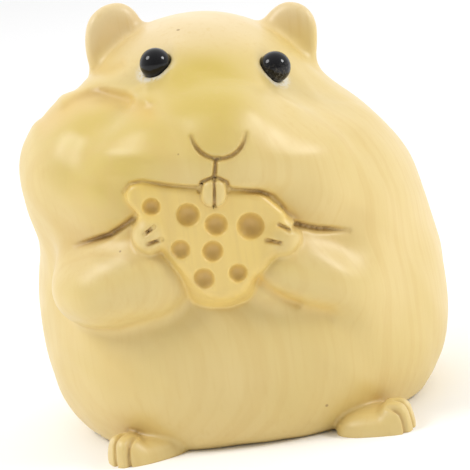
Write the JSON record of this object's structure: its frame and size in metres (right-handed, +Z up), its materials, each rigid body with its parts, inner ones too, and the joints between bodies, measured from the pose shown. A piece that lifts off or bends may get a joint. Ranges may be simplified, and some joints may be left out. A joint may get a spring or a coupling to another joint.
{
  "type": "animal figurine",
  "caption": "Hand-carved wooden hamster sitting upright, full cheeks, nibbling a wedge of cheese, with black bead eyes.",
  "frame": {"origin": "on the ground under the middle of the body, in the planed underside", "axes": "+Z up, the hamster faces -Y, +X towards its own left side"},
  "size_m": [0.0544, 0.0549, 0.0559],
  "materials": {
    "boxwood": "pale boxwood, sanded smooth and polished to a satin sheen",
    "black_glass": "opaque black bead, polished to a high gloss"
  },
  "bodies": {
    "root": {"carved_figure": "boxwood", "right_eye_bead": "black_glass", "left_eye_bead": "black_glass"}
  },
  "joints": []
}
